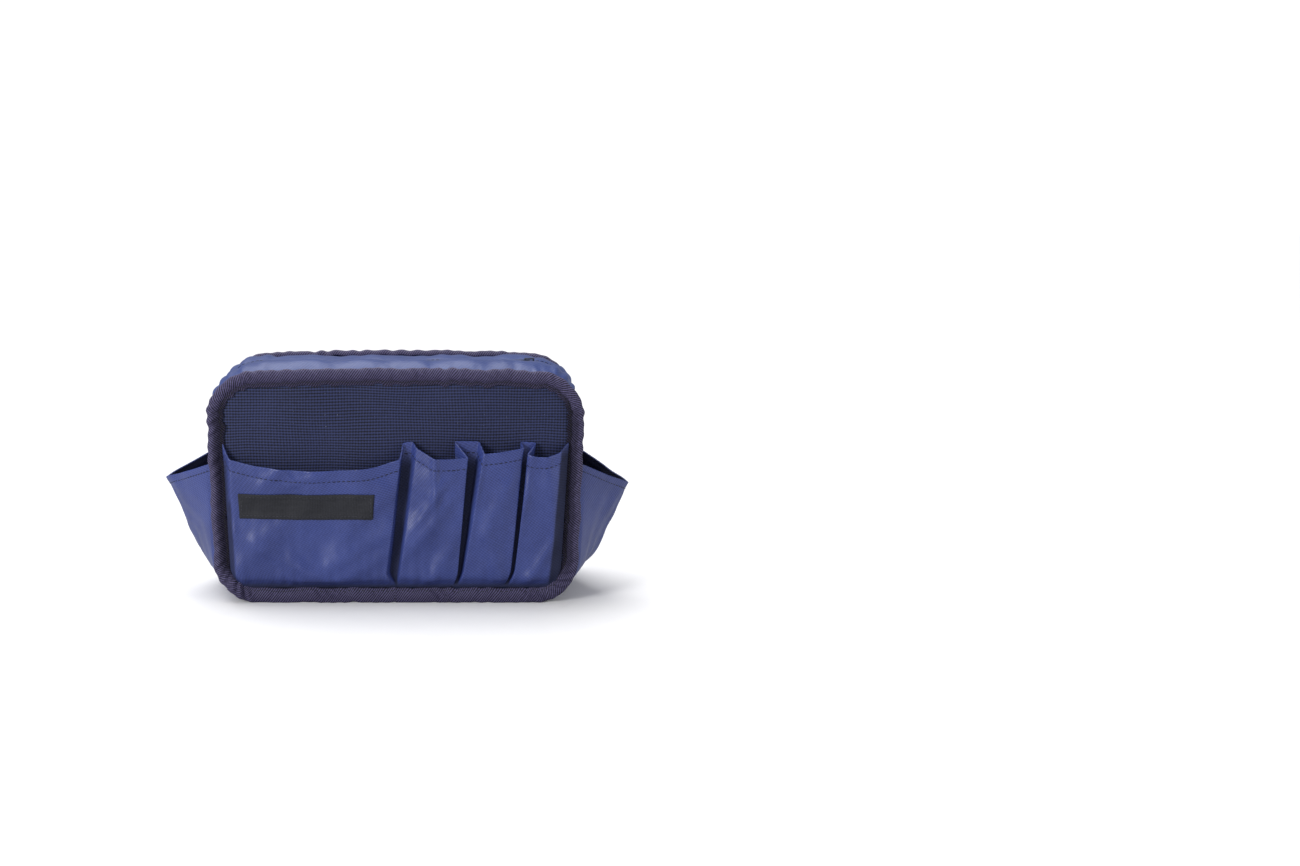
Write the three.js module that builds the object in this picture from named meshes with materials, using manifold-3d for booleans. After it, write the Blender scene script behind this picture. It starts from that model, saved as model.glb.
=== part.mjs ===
// A soft travel document organizer: two mesh faces bound with tape, joined by a gusset that holds a zip between
// two folded lips, with a row of pockets in front, a gathered pocket behind and a flared pocket at each end.
// Millimetres. +Z is up, the front faces -Y and the origin is the middle of the base.

import * as THREE from "three";
import { mergeVertices } from "three/addons/utils/BufferGeometryUtils.js";
import Module from "manifold-3d";

const wasm = await Module();
wasm.setup();

// Driving dimensions.
const width = 220; // across the bound faces
const height = 140;
const depth = 80; // from the face of one binding to the face of the other
const cornerRadius = 20;
const bindingWidth = 9; // how much of a face the folded tape covers
const bindingDepth = 4.6; // the bound edge, front to back
const tapeThickness = 1.2; // the folded binding tape
const meshThickness = 1;
const clothThickness = 0.9;
const gussetThickness = 1.4;
const gussetInset = 3; // how far the gusset lies inside the bound edge
const clearance = 0.3; // between pieces that touch
const cornerSteps = 8;

const zipEndHeight = 80; // the zip runs over the top from here to here
const lipCrown = 6.5; // how far a lip swells above its seam
const lipTurn = 0.93 * Math.PI; // how far round its arch a lip goes before its fold
const valleyHalfWidth = 4.2; // from the middle of the zip to the fold of each lip
const zipTapeThickness = 0.6;
const zipTapeHalfWidth = 15;
const zipTapeEdge = 2.5; // from the middle of the zip to the inner edge of its tape
const coilInner = 0.6;
const coilOuter = 2.2;
const coilHeight = 1.8;

const pocketBottom = bindingWidth + 0.5;
const pocketPeak = 96.5; // the top of the pockets where they are sewn to the face
const pocketOpening = 12; // how far the mouth of a pocket stands off the face
const pleatWidth = 5;

const sidePocketReach = 34; // how far the tip of a side pocket stands off the body
const sidePocketRim = 84; // where its mouth meets the body
const sidePocketTip = 68; // the height of its tip
const sidePocketBottom = 9;

const sliderTravelEnd = 80; // the slider is parked this far to the right of the middle
const sliderLength = 9;
const sliderHalfWidth = 3.4;

// Derived places.
const halfWidth = width / 2;
const faceY = depth / 2;
const seamY = faceY - bindingDepth; // the inner face of each bound edge
const gussetHalfDepth = seamY - clearance;
const meshOuterY = faceY - tapeThickness - 0.4; // the outward face of a mesh panel, in the binding's groove
const pocketSeamY = meshOuterY + 0.45; // the inward face of a pocket where it is sewn to the mesh
const zipLevel = -3.6; // the middle of the zip's tape, measured outwards from the body's outline

const colours = {
  nylon: 0x454f7f,
  lip: 0x626f9c,
  mesh: 0x30344e,
  binding: 0x44425d,
  label: 0x3c3e48,
  zip: 0x2c3050,
  metal: 0x4a4d5c,
  elastic: 0x24283a,
};

const group = new THREE.Group();
group.name = "travel_document_organizer";

function add(name, geometry, colour, roughness = 0.7, metalness = 0) {
  const material = new THREE.MeshStandardMaterial({ color: colour, roughness, metalness });
  const mesh = new THREE.Mesh(geometry, material);
  mesh.name = name;
  group.add(mesh);
  return mesh;
}

// A geometry with shared corners and nothing but positions.
function bare(geometry) {
  const copy = geometry.clone();
  copy.deleteAttribute("normal");
  copy.deleteAttribute("uv");
  return mergeVertices(copy, 1e-4);
}

// Six times the volume that a closed geometry's faces enclose, negative if they face inwards.
function signedVolume(geometry) {
  const at = geometry.attributes.position;
  const corner = [new THREE.Vector3(), new THREE.Vector3(), new THREE.Vector3()];
  let total = 0;
  for (let i = 0; i < geometry.index.count; i += 3) {
    corner.forEach((point, k) => point.fromBufferAttribute(at, geometry.index.getX(i + k)));
    total += corner[0].dot(corner[1].cross(corner[2]));
  }
  return total;
}

// A closed sheet. A unit box, divided into columns and rows, has each of its points moved by place(u, v, w):
// u runs along it, v through its thickness and w across it, each from 0 to 1.
function formed(columns, rows, place) {
  const geometry = bare(new THREE.BoxGeometry(1, 1, 1, columns, 1, rows));
  const at = geometry.attributes.position;
  for (let i = 0; i < at.count; i += 1) {
    at.setXYZ(i, ...place(at.getX(i) + 0.5, at.getY(i) + 0.5, at.getZ(i) + 0.5));
  }
  if (signedVolume(geometry) < 0) {
    const index = geometry.index.array;
    for (let i = 0; i < index.length; i += 3) {
      [index[i], index[i + 1]] = [index[i + 1], index[i]];
    }
  }
  geometry.computeVertexNormals();
  return geometry;
}

function solid(geometry) {
  const clean = bare(geometry);
  return new wasm.Manifold(
    new wasm.Mesh({
      numProp: 3,
      vertProperties: new Float32Array(clean.attributes.position.array),
      triVerts: new Uint32Array(clean.index.array),
    }),
  );
}

function geometryOf(manifold) {
  const mesh = manifold.getMesh();
  const geometry = new THREE.BufferGeometry();
  geometry.setAttribute("position", new THREE.BufferAttribute(mesh.vertProperties, 3));
  geometry.setIndex(new THREE.BufferAttribute(mesh.triVerts, 1));
  geometry.computeVertexNormals();
  return geometry;
}

const mix = (a, b, t) => a + (b - a) * t;
const clamp01 = (t) => Math.min(1, Math.max(0, t));

// --- The outline of the body, a rectangle with round corners seen from the front ---

// A place on the outline, with the direction that points straight out of the body there.
function station(x, z, angle) {
  return { x, z, outX: Math.cos(angle), outZ: Math.sin(angle) };
}

function cornerStations(side, centreZ, fromAngle, toAngle) {
  const centreX = side * (halfWidth - cornerRadius);
  return Array.from({ length: cornerSteps + 1 }, (_, i) => {
    const angle = mix(fromAngle, toAngle, i / cornerSteps);
    return station(
      centreX + cornerRadius * Math.cos(angle),
      centreZ + cornerRadius * Math.sin(angle),
      angle,
    );
  });
}

// From the left side over the top to the right side, starting and ending at endHeight.
function upperRun(endHeight) {
  const centreZ = height - cornerRadius;
  return [
    station(-halfWidth, endHeight, Math.PI),
    ...cornerStations(-1, centreZ, Math.PI, Math.PI / 2),
    ...cornerStations(1, centreZ, Math.PI / 2, 0),
    station(halfWidth, endHeight, 0),
  ];
}

// From the left side under the base to the right side.
function lowerRun(endHeight) {
  return [
    station(-halfWidth, endHeight, Math.PI),
    ...cornerStations(-1, cornerRadius, Math.PI, 1.5 * Math.PI),
    ...cornerStations(1, cornerRadius, 1.5 * Math.PI, 2 * Math.PI),
    station(halfWidth, endHeight, 2 * Math.PI),
  ];
}

// A band along a run. section(v, w, here) gives how far out of the outline and how far back a point lies.
function band(run, rows, section) {
  const columns = run.length - 1;
  return formed(columns, rows, (u, v, w) => {
    const here = run[Math.round(u * columns)];
    const [out, y] = section(v, w, here);
    return [here.x + here.outX * out, y, here.z + here.outZ * out];
  });
}

function roundedOutline(inset) {
  const right = halfWidth - inset;
  const top = height - inset;
  const radius = cornerRadius - inset;
  const outline = new THREE.Shape();
  outline.moveTo(-right + radius, inset);
  outline.lineTo(right - radius, inset);
  outline.absarc(right - radius, inset + radius, radius, -Math.PI / 2, 0, false);
  outline.lineTo(right, top - radius);
  outline.absarc(right - radius, top - radius, radius, 0, Math.PI / 2, false);
  outline.lineTo(-right + radius, top);
  outline.absarc(-right + radius, top - radius, radius, Math.PI / 2, Math.PI, false);
  outline.lineTo(-right, inset + radius);
  outline.absarc(-right + radius, inset + radius, radius, Math.PI, 1.5 * Math.PI, false);
  return outline;
}

// A plate of the given outline, standing upright from y = near to y = far.
function uprightPlate(outline, near, far) {
  const settings = { depth: far - near, bevelEnabled: false, curveSegments: cornerSteps };
  const geometry = new THREE.ExtrudeGeometry(outline, settings);
  geometry.rotateX(Math.PI / 2);
  geometry.translate(0, far, 0);
  return geometry;
}

// --- The two faces ---

function meshPanel(side) {
  const inset = tapeThickness + 0.4; // short of the bottom of the binding's groove
  const inner = side * (meshOuterY - meshThickness);
  const outer = side * meshOuterY;
  return uprightPlate(roundedOutline(inset), Math.min(inner, outer), Math.max(inner, outer));
}

// The tape folded over the seam: a ring with a groove, open inwards, that takes the edge of the mesh.
function binding(side) {
  const ring = roundedOutline(0);
  ring.holes.push(roundedOutline(bindingWidth));
  const groove = roundedOutline(tapeThickness);
  groove.holes.push(roundedOutline(bindingWidth + 1));
  const near = Math.min(side * seamY, side * faceY);
  const far = Math.max(side * seamY, side * faceY);
  const body = solid(uprightPlate(ring, near, far));
  const cut = solid(uprightPlate(groove, near + tapeThickness, far - tapeThickness));
  return geometryOf(body.subtract(cut));
}

// --- The gusset and its zip ---

// The bottom and the lower sides in one strip, which sags to the ground between the two bindings.
function lowerGusset() {
  return band(lowerRun(zipEndHeight - clearance), 2, (v, w, here) => {
    const sag = gussetInset * Math.max(0, -here.outZ);
    return [-gussetInset + sag - gussetThickness * v, mix(-gussetHalfDepth, gussetHalfDepth, w)];
  });
}

// How far out of the outline the outer face of a lip lies, at a distance from the middle of the zip.
function lipHeight(distance) {
  const across = clamp01((gussetHalfDepth - distance) / (gussetHalfDepth - valleyHalfWidth));
  return -gussetInset + lipCrown * Math.sin(lipTurn * across);
}

function zipLip(side) {
  return band(upperRun(zipEndHeight), 10, (v, w) => {
    const distance = mix(gussetHalfDepth, valleyHalfWidth, w);
    return [lipHeight(distance) - gussetThickness * v, side * distance];
  });
}

// The tape lies against the underside of its lip and runs on level to the coil.
function zipTape(side) {
  return band(upperRun(zipEndHeight), 6, (v, w) => {
    const distance = mix(zipTapeHalfWidth, zipTapeEdge, w);
    const top = lipHeight(Math.max(distance, valleyHalfWidth)) - gussetThickness - clearance;
    return [top - zipTapeThickness * v, side * distance];
  });
}

const coilEndHeight = zipEndHeight + 4.5;

function zipCoil(side) {
  return band(upperRun(coilEndHeight), 1, (v, w) => [
    zipLevel + coilHeight * (0.5 - v),
    side * mix(coilInner, coilOuter, w),
  ]);
}

// The stop clenched round the end of both coils.
function zipStop(side) {
  const length = 2.8;
  const geometry = new THREE.BoxGeometry(coilHeight + 1, 2 * coilOuter, length);
  const below = coilEndHeight - clearance - length / 2;
  geometry.translate(side * (halfWidth + zipLevel), 0, below);
  return geometry;
}

const zipTopZ = height + zipLevel;
const plateThickness = 1;
const plateInner = coilHeight / 2 + 0.4; // from the zip's level to the inside of each plate of the slider
const bailTop = plateInner + plateThickness + 2.7;
const pullAxisZ = zipTopZ + plateInner + plateThickness + 1;

// The slider: a plate above the coils, a plate below them, the wedge that parts them and the bail on top.
function zipSlider() {
  const block = (x, z, lengthX, lengthY, lengthZ) => {
    const geometry = new THREE.BoxGeometry(lengthX, lengthY, lengthZ);
    geometry.translate(sliderTravelEnd + x, 0, zipTopZ + z);
    return solid(geometry);
  };
  const plateMiddle = plateInner + plateThickness / 2;
  const wedge = { length: 1.8, width: 0.6 };
  const post = { width: 1.2, length: 1 };
  const postReach = 2.6;
  const bailBase = plateInner + plateThickness;
  const postHeight = bailTop - bailBase + 0.4;
  const postMiddle = bailTop - postHeight / 2;
  const plates = block(0, plateMiddle, sliderLength, 2 * sliderHalfWidth, plateThickness).add(
    block(0, -plateMiddle, sliderLength, 2 * sliderHalfWidth, plateThickness),
  );
  const wedgeX = sliderLength / 2 - wedge.length / 2;
  return geometryOf(
    plates
      .add(block(wedgeX, 0, wedge.length, wedge.width, 2 * plateMiddle))
      .add(block(-postReach, postMiddle, post.length, post.width, postHeight))
      .add(block(postReach, postMiddle, post.length, post.width, postHeight))
      .add(block(0, bailTop - 0.4, 2 * postReach + post.length, post.width, 0.8)),
  );
}

// The pull: a round bar through the bail, two arms and a flat tab with a round end, lying along the valley.
function zipPull() {
  const thickness = 1;
  const halfTab = 2.2;
  const tabLength = 20;
  const armLength = 5;
  const slotHalf = 1;
  const barRadius = 0.5;
  const outline = new THREE.Shape();
  outline.moveTo(0.6, -halfTab);
  outline.lineTo(0.6, halfTab);
  outline.lineTo(-tabLength, halfTab);
  outline.absarc(-tabLength, 0, halfTab, Math.PI / 2, 1.5 * Math.PI, false);
  const slot = new THREE.Path();
  slot.moveTo(-armLength, -slotHalf);
  slot.lineTo(1, -slotHalf);
  slot.lineTo(1, slotHalf);
  slot.lineTo(-armLength, slotHalf);
  const plate = new THREE.ExtrudeGeometry(outline, {
    depth: thickness,
    bevelEnabled: false,
    curveSegments: 10,
  });
  plate.translate(0, 0, -thickness / 2);
  const opening = new THREE.ExtrudeGeometry(new THREE.Shape(slot.getPoints()), {
    depth: 2 * thickness,
    bevelEnabled: false,
  });
  opening.translate(0, 0, -thickness);
  const bar = new THREE.CylinderGeometry(barRadius, barRadius, 2 * slotHalf + 1, 12);
  const pull = geometryOf(solid(plate).subtract(solid(opening)).add(solid(bar)));
  pull.translate(sliderTravelEnd, 0, pullAxisZ);
  return pull;
}

// --- The pockets on the faces ---

// The inner edge of a binding follows a round corner, so a pocket is narrower at its foot.
const pocketTopHalf = halfWidth - bindingWidth - 0.5;
const pocketFootHalf = 93;
const footRise = 10; // the height over which the pocket's ends come in

// The seams that part the front pockets, each at its top and at its foot.
const seams = [
  { top: -pocketTopHalf, foot: -pocketFootHalf },
  { top: 7, foot: 0 },
  { top: 46, foot: 36 },
  { top: 75, foot: 67 },
  { top: pocketTopHalf, foot: pocketFootHalf },
];
const mouthDips = [14, 8, 8, 8]; // how far each mouth hangs below its seams

// Where the seams of the front row run at a height. The outer two only come in near the foot.
function seamX(seam, z) {
  const isOuter = Math.abs(seam.top) === pocketTopHalf;
  const reach = isOuter ? footRise : pocketPeak - pocketBottom;
  return mix(seam.foot, seam.top, clamp01((z - pocketBottom) / reach));
}

const bellied = (t) => Math.pow(t, 0.8);

// How far a pocket stands off the face: not at all at its foot, most at its mouth.
function frontStandOff(t, fullness) {
  return pocketOpening * bellied(t) * fullness;
}

// The columns of one pocket: where each lies between its seams and how far it has come forward there.
function pocketColumns(pocketWidth) {
  const pleat = pleatWidth / pocketWidth;
  const seamHalf = 1 / pocketWidth;
  const rise = [
    [seamHalf, 0],
    [mix(seamHalf, pleat, 0.5), 0.6],
    [pleat, 0.95],
    [2 * pleat, 1],
  ];
  return [...rise, [0.5, 1], ...rise.map(([at, full]) => [1 - at, full]).reverse()];
}

function frontPocketStrip() {
  const columns = seams.slice(1).flatMap((right, i) =>
    pocketColumns(right.top - seams[i].top).map(([between, full]) => ({ i, between, full })),
  );
  const first = { ...columns[0], between: 0 };
  const last = { ...columns[columns.length - 1], between: 1 };
  const all = [first, ...columns, last];
  return formed(all.length - 1, 8, (u, v, t) => {
    const { i, between, full } = all[Math.round(u * (all.length - 1))];
    const top = pocketPeak - mouthDips[i] * full;
    const z = mix(pocketBottom, top, t);
    const x = mix(seamX(seams[i], z), seamX(seams[i + 1], z), between);
    return [x, -(pocketSeamY + clothThickness * v + frontStandOff(t, full)), z];
  });
}

// A label sewn to the wide pocket, following its slope.
function wovenLabel() {
  const label = { left: -91, right: -14, bottom: 50, top: 65, thickness: 0.5 };
  const mouth = pocketPeak - mouthDips[0];
  return formed(1, 2, (u, v, w) => {
    const z = mix(label.bottom, label.top, w);
    const cloth = pocketSeamY + clothThickness + frontStandOff((z - pocketBottom) / (mouth - pocketBottom), 1);
    return [mix(label.left, label.right, u), -(cloth + clearance + label.thickness * v), z];
  });
}

// The gathered pocket is fullest below its mouth, which elastic draws in.
const backMouthDip = 5;
const backTurn = 0.78 * Math.PI;

function backStandOff(t, fullness) {
  return pocketOpening * Math.sin(backTurn * bellied(t)) * fullness;
}

// How full the back pocket is along its width, from 0 at a side to 1 through the middle.
function backFullness(u) {
  return Math.pow(Math.sin(Math.PI * clamp01(u)), 0.45);
}

function backPocketPoint(u, t, outwards) {
  const fullness = backFullness(u);
  const z = mix(pocketBottom, pocketPeak - backMouthDip * fullness, t);
  const half = mix(pocketFootHalf, pocketTopHalf, clamp01((z - pocketBottom) / footRise));
  return [mix(-half, half, u), pocketSeamY + outwards + backStandOff(t, fullness), z];
}

function backPocket() {
  return formed(20, 8, (u, v, t) => backPocketPoint(u, t, clothThickness * v));
}

// The elastic lies behind the hem, inside the pocket, and stops short of the side seams.
function backPocketElastic() {
  const thickness = 0.7;
  const inside = -clearance - thickness;
  const ends = 0.08;
  return formed(16, 1, (u, v, w) =>
    backPocketPoint(mix(ends, 1 - ends, u), mix(0.9, 0.965, w), inside + thickness * v),
  );
}

// --- The pockets at the ends ---

// How far out the side of the gusset is at a height. Round its lower corner it comes out to the bound edge, as the
// sine of the angle below level, so that sine is the root of a quadratic.
function gussetSide(z) {
  const below = Math.max(0, cornerRadius - z);
  const reach = cornerRadius - gussetInset;
  const sine = (Math.sqrt(reach ** 2 + 4 * gussetInset * below) - reach) / (2 * gussetInset);
  return halfWidth - cornerRadius + (reach + gussetInset * sine) * Math.sqrt(1 - sine ** 2);
}

// A wedge with a crease down its middle. Its mouth hangs lower at the tip than where it meets the body.
function sidePocket(side) {
  const edge = gussetHalfDepth;
  return formed(12, 12, (u, v, t) => {
    const across = 2 * u - 1;
    const towardsCrease = 1 - Math.abs(across);
    const rim = mix(sidePocketRim, sidePocketTip, towardsCrease);
    const z = mix(sidePocketBottom, rim, t);
    const flare = (sidePocketReach * (0.16 + 0.84 * t)) * Math.pow(towardsCrease, 0.9) * clamp01(6 * t);
    const out = gussetSide(z) + 3 * clearance + flare + clothThickness * v;
    return [side * out, across * edge, z];
  });
}

add("front_mesh_panel", meshPanel(-1), colours.mesh, 0.85);
add("back_mesh_panel", meshPanel(1), colours.mesh, 0.85);
add("front_binding", binding(-1), colours.binding, 0.8);
add("back_binding", binding(1), colours.binding, 0.8);
add("lower_gusset", lowerGusset(), colours.nylon, 0.5);
for (const [end, side] of [["front", -1], ["rear", 1]]) {
  add(`zip_lip_${end}`, zipLip(side), colours.lip, 0.45);
  add(`zip_tape_${end}`, zipTape(side), colours.zip, 0.8);
  add(`zip_coil_${end}`, zipCoil(side), colours.zip, 0.5);
}
add("zip_stop_left", zipStop(-1), colours.metal, 0.4, 0.9);
add("zip_stop_right", zipStop(1), colours.metal, 0.4, 0.9);
add("zip_slider", zipSlider(), colours.metal, 0.35, 0.9);
add("zip_pull", zipPull(), colours.metal, 0.35, 0.9);
add("front_pocket_strip", frontPocketStrip(), colours.nylon, 0.5);
add("woven_label", wovenLabel(), colours.label, 0.8);
add("back_pocket", backPocket(), colours.nylon, 0.5);
add("back_pocket_elastic", backPocketElastic(), colours.elastic, 0.9);
add("side_pocket_left", sidePocket(-1), colours.nylon, 0.5);
add("side_pocket_right", sidePocket(1), colours.nylon, 0.5);

export default group;
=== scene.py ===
"""A soft travel document organizer of navy nylon and mesh, on a pale floor."""

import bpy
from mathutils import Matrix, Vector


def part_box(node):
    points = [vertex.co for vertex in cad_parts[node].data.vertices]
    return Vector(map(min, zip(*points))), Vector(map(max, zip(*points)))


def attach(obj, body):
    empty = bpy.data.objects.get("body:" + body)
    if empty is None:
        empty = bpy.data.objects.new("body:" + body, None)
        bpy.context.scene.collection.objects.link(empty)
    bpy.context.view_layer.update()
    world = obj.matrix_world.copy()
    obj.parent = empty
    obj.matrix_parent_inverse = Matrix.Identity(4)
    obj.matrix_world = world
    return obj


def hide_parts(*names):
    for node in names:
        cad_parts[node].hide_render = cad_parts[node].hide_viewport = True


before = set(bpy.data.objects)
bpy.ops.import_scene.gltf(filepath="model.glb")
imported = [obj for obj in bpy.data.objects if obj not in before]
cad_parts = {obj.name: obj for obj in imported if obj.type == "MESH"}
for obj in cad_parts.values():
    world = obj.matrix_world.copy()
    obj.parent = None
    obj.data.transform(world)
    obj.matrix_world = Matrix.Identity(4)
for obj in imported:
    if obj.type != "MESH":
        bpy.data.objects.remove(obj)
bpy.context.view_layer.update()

import math

import bpy
import numpy as np
from mathutils import Vector

MM = 0.001

# --- Sizes, worked out from the frame ---

HALF_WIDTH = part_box("front_binding")[1].x
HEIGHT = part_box("front_binding")[1].z
FACE_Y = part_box("back_binding")[1].y
MESH_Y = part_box("back_mesh_panel")[1].y
GUSSET_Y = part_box("lower_gusset")[1].y
ZIP_END_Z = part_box("zip_lip_front")[0].z
LIP_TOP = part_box("zip_lip_front")[1].z - HEIGHT
VALLEY_HALF = -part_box("zip_lip_front")[1].y
POCKET_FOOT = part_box("front_pocket_strip")[0].z
POCKET_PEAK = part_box("front_pocket_strip")[1].z
POCKET_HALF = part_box("front_pocket_strip")[1].x
POCKET_DEPTH = -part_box("front_pocket_strip")[0].y - MESH_Y
POCKET_SEAM_Y = MESH_Y + 0.8 * MM
LABEL_LOW, LABEL_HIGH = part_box("woven_label")
SIDE_TIP_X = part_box("side_pocket_right")[1].x
SIDE_FOOT_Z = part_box("side_pocket_right")[0].z
SIDE_RIM_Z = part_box("side_pocket_right")[1].z
SIDE_TIP_Z = SIDE_RIM_Z - 16 * MM
COIL_LOW, COIL_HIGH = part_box("zip_coil_rear")

TOP_RADIUS = 27 * MM
FOOT_RADIUS = 26 * MM
TOP_DRAW_IN = 0.5 * MM  # how far the top corners lie inside the width
FOOT_DRAW_IN = 2.5 * MM  # how far the lower corners lie inside it
BINDING_WIDTH = 9.4 * MM
BINDING_TURN = 2.6 * MM  # how far the tape turns in behind the edge
TAPE = 0.5 * MM
GUSSET_INSET = 3 * MM
COIL_PITCH = 1.3 * MM
CLOTH = 0.4 * MM
STITCH_PITCH = 2.9 * MM
HEM = 6.7 * MM
SIDE_HEM = 4 * MM
NET_EDGE = 6.5 * MM  # how far in from the edges the net starts
NET_CELL = 1.7 * MM
LABEL_RISE = 2.5 * MM  # the slack hem lets the label lie this much higher

# --- Arithmetic on arrays ---


def smooth(x):
    """0 below 0, 1 above 1, and an S-curve, three x squared less two x cubed, between."""
    x = np.clip(x, 0, 1)
    return x * x * (3 - 2 * x)


def mix(a, b, t):
    return a + (b - a) * t


def bump(x, centre, width):
    """A bell: e to the minus square of the distance from centre over width."""
    return np.exp(-(((x - centre) / width) ** 2))


def ripple(u, v, wavelength, seed, waves=7, along=None, spread=math.pi):
    """Cloth's random swell, within about 1 either way: a sum of plane waves of nearly one wavelength.

    Their crests run at random directions, or within spread of the direction along.
    """
    random = np.random.default_rng(seed)
    turn = random.uniform(-0.5, 0.5, waves) * spread + (0 if along is None else along)
    number = 2 * math.pi / (wavelength * random.uniform(0.75, 1.4, waves))
    phase = random.uniform(0, 2 * math.pi, waves)
    total = 0
    for k in range(waves):
        across = -u * math.sin(turn[k]) + v * math.cos(turn[k])
        total = total + np.sin(across * number[k] + phase[k])
    return total / math.sqrt(waves)


def puckers(u, wavelength, seed, waves=7):
    """Random waves whose crests run square across u."""
    return ripple(u, 0 * u, wavelength, seed, waves, math.pi / 2, 0.01)


def creases(x, z, lines):
    """Ridges along straight lines. Each line is its two ends, its height and its width in millimetres.

    A ridge is a bell across its line, and its height falls away smoothly past either end.
    """
    total = np.zeros(np.broadcast(x, z).shape)
    for x0, z0, x1, z1, height, width in lines:
        start = np.array([x0, z0]) * MM
        run = np.array([x1 - x0, z1 - z0]) * MM
        length = np.hypot(*run)
        run = run / length
        along = (x - start[0]) * run[0] + (z - start[1]) * run[1]
        across = (z - start[1]) * run[0] - (x - start[0]) * run[1]
        past = np.maximum(np.maximum(-along, along - length), 0)
        total += height * MM * np.exp(-((across / (width * MM)) ** 2) - (past / (4 * width * MM)) ** 2)
    return total


def rounding(steps, samples, radius):
    """A matrix that turns values at knots along a path into values at samples, with the corners rounded.

    steps are the distances between knots. It joins the knots by straight lines, then averages round each
    sample with a bell of that radius.
    """
    place = np.cumsum(np.concatenate([[0], steps]))
    fine = np.linspace(0, place[-1], samples)
    straight = np.stack([np.interp(fine, place, row) for row in np.eye(len(place))], axis=1)
    reach = np.interp(fine, place, radius)
    bell = np.exp(-(((fine[:, None] - fine[None]) / reach[:, None]) ** 2))
    return bell / bell.sum(1, keepdims=True) @ straight


def normals_of(points, closed=False):
    """Unit normals of a grid of points: the cross product of its two directions."""
    if closed:
        across = np.roll(points, -1, 1) - np.roll(points, 1, 1)
    else:
        across = np.gradient(points, axis=1)
    normal = np.cross(across, np.gradient(points, axis=0))
    return normal / np.maximum(np.linalg.norm(normal, axis=-1, keepdims=True), 1e-12)


def cloth_lengths(points):
    """How far each point of a grid lies along its cloth, each way: mean lengths of its steps, added up."""
    steps_u = np.linalg.norm(np.diff(points, axis=1), axis=2).mean(0)
    steps_v = np.linalg.norm(np.diff(points, axis=0), axis=2).mean(1)
    u = np.concatenate([[0], np.cumsum(steps_u)])
    v = np.concatenate([[0], np.cumsum(steps_v)])
    return np.stack(np.broadcast_arrays(u[None, :], v[:, None]), axis=-1)


def sampled(points, column, row):
    """A grid read between its points, column and row being from 0 to 1, by straight-line mixing."""
    rows, columns = points.shape[:2]
    c = np.clip(column, 0, 1) * (columns - 1)
    r = np.clip(row, 0, 1) * (rows - 1)
    c0 = np.minimum(c.astype(int), columns - 2)
    r0 = np.minimum(r.astype(int), rows - 2)
    fc = (c - c0)[..., None]
    fr = (r - r0)[..., None]
    low = points[r0, c0] * (1 - fc) + points[r0, c0 + 1] * fc
    high = points[r0 + 1, c0] * (1 - fc) + points[r0 + 1, c0 + 1] * fc
    return low * (1 - fr) + high * fr


# --- Meshes ---


def mesh_object(name, vertices, faces, material, lengths=None, painted_shade=None):
    """A smooth mesh at the origin. Its faces are a list.

    lengths, how far each point lies along the cloth in metres, become its UV map. The last argument is
    painted shade at each point, from 0 to 1, kept as a point attribute that darkens the cloth's colour where
    shade falls in folds and pockets.
    """
    data = bpy.data.meshes.new(name)
    data.from_pydata(vertices.reshape(-1, 3), [], faces)
    if lengths is not None:
        corners = np.empty(len(data.loops), int)
        data.loops.foreach_get("vertex_index", corners)
        layer = data.uv_layers.new(name="cloth")
        layer.data.foreach_set("uv", lengths.reshape(-1, 2)[corners].astype(np.float32).ravel())
    if painted_shade is not None:
        attribute = data.attributes.new("painted_shade", "FLOAT", "POINT")
        attribute.data.foreach_set("value", painted_shade.astype(np.float32).ravel())
    data.polygons.foreach_set("use_smooth", np.ones(len(data.polygons), bool))
    data.materials.append(material)
    piece = bpy.data.objects.new(name, data)
    bpy.context.scene.collection.objects.link(piece)
    return piece


def settle(piece, node=None, body="bag"):
    """Fix a piece to its body, and let it stand for its node, if it has one."""
    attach(piece, body)
    if node:
        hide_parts(node)


def grid_faces(rows, columns, first=0, wrap=False):
    """The four-sided faces of a grid of points, numbered row by row from first."""
    index = first + np.arange(rows * columns).reshape(rows, columns)
    if wrap:
        index = np.concatenate([index, index[:, :1]], axis=1)
    return np.stack([index[:-1, :-1], index[:-1, 1:], index[1:, 1:], index[1:, :-1]], axis=-1).reshape(-1, 4)


def sheet(name, points, thickness, material, wrap=False, flip=False, painted_shade=0.0, inside=None):
    """Cloth with a thickness: the grid pushed out and in along its normals, and strips that close its edges.

    inside is the painted shade of the inner face, where it isn't that of the outer one.
    """
    shape = points.shape[:2]
    thickness, painted_shade = np.broadcast_to(thickness, shape), np.broadcast_to(painted_shade, shape)
    inside = painted_shade if inside is None else np.broadcast_to(inside, shape)
    if flip:
        points, thickness, painted_shade, inside = (part[:, ::-1] for part in (points, thickness, painted_shade, inside))
    rows, columns = shape
    push = normals_of(points, wrap) * thickness[..., None] / 2
    count = rows * columns
    outer = grid_faces(rows, columns, 0, wrap)
    inner = grid_faces(rows, columns, count, wrap)[:, ::-1]
    index = np.arange(count).reshape(rows, columns)
    if wrap:
        index = np.concatenate([index, index[:, :1]], axis=1)
    borders = [index[0][::-1], index[-1]] + ([] if wrap else [index[:, 0], index[::-1, -1]])
    rims = [np.stack([b[:-1], b[1:], b[1:] + count, b[:-1] + count], axis=-1) for b in borders]
    vertices = np.concatenate([(points + push).reshape(-1, 3), (points - push).reshape(-1, 3)])
    lengths = cloth_lengths(points).reshape(-1, 2)
    faces = np.concatenate([outer, inner, *rims]).tolist()
    lengths = np.concatenate([lengths, lengths])
    return mesh_object(name, vertices, faces, material, lengths, np.stack([painted_shade, inside]))


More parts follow.
